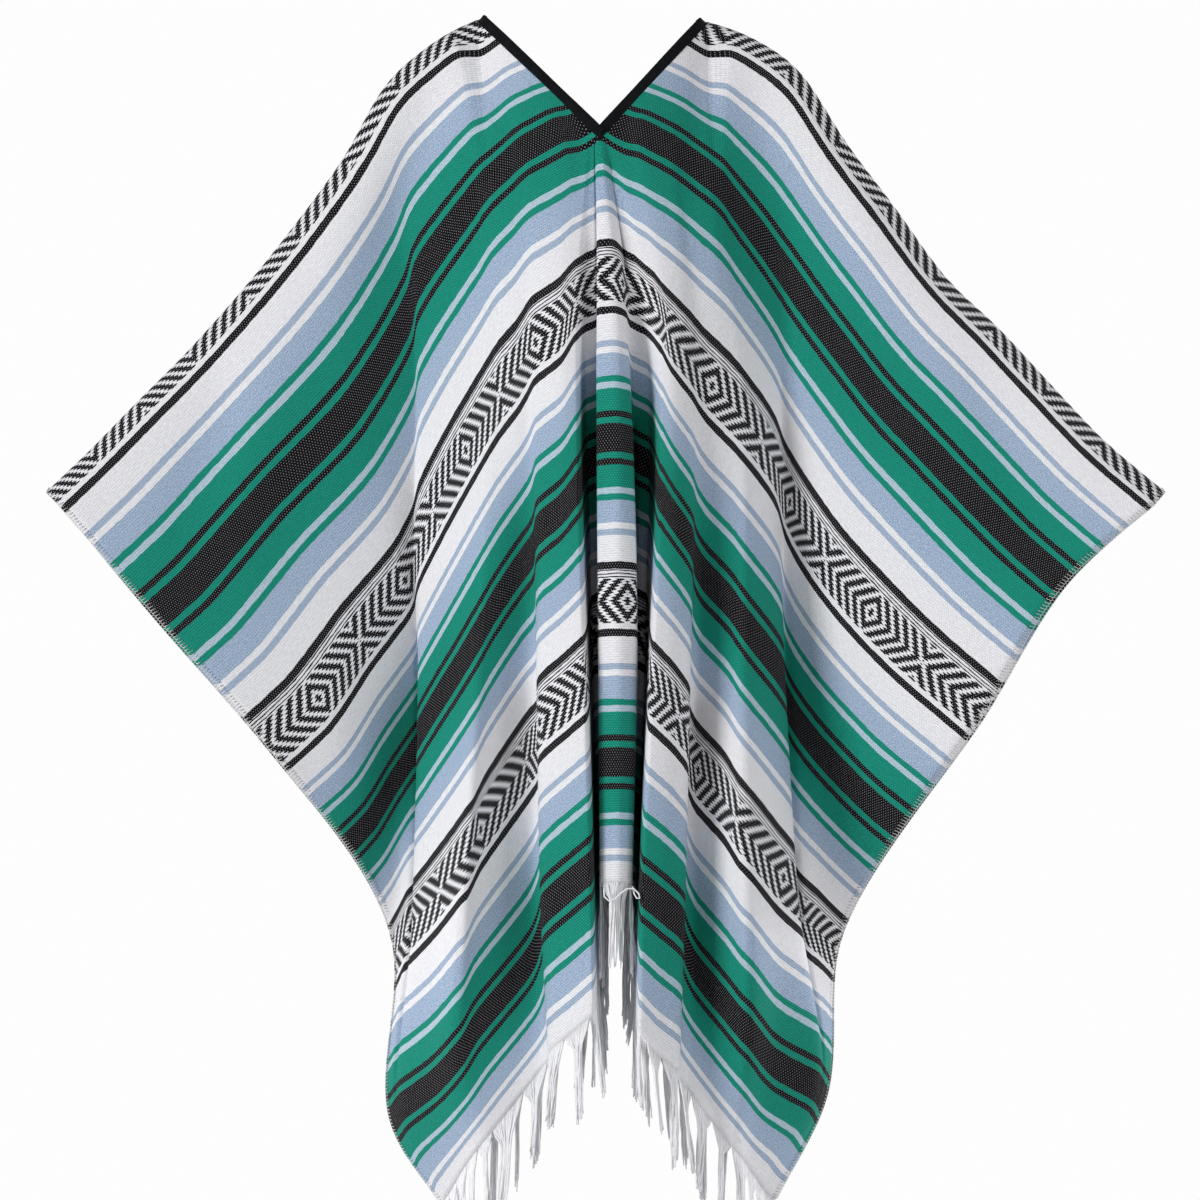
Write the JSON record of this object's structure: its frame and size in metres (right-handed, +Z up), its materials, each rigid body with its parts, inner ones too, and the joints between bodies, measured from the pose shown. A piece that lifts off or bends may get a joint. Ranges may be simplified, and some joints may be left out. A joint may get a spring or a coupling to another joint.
{
  "type": "mexican poncho",
  "caption": "Striped woven poncho with a bound neck slit, worn open and hollow, hanging in deep folds, with a fringe along the front and back hems.",
  "frame": {"origin": "between the wearer's shoulders, at the top of the neck opening and level with the shoulder line beside the neck", "axes": "+X to the wearer's left, -Y to the front, +Z up"},
  "size_m": [1.0824, 0.3257, 1.2534],
  "materials": {
    "woven_cloth": "matt woven, striped across in white, pale blue, green and black with bands of stepped diamonds",
    "binding_tape": "matt woven tape",
    "fringe_yarn": "matt loose yarn"
  },
  "bodies": {
    "root": {"cloth": "woven_cloth", "neck_binding": "binding_tape", "front_fringe": "fringe_yarn", "back_fringe": "fringe_yarn"}
  },
  "joints": []
}
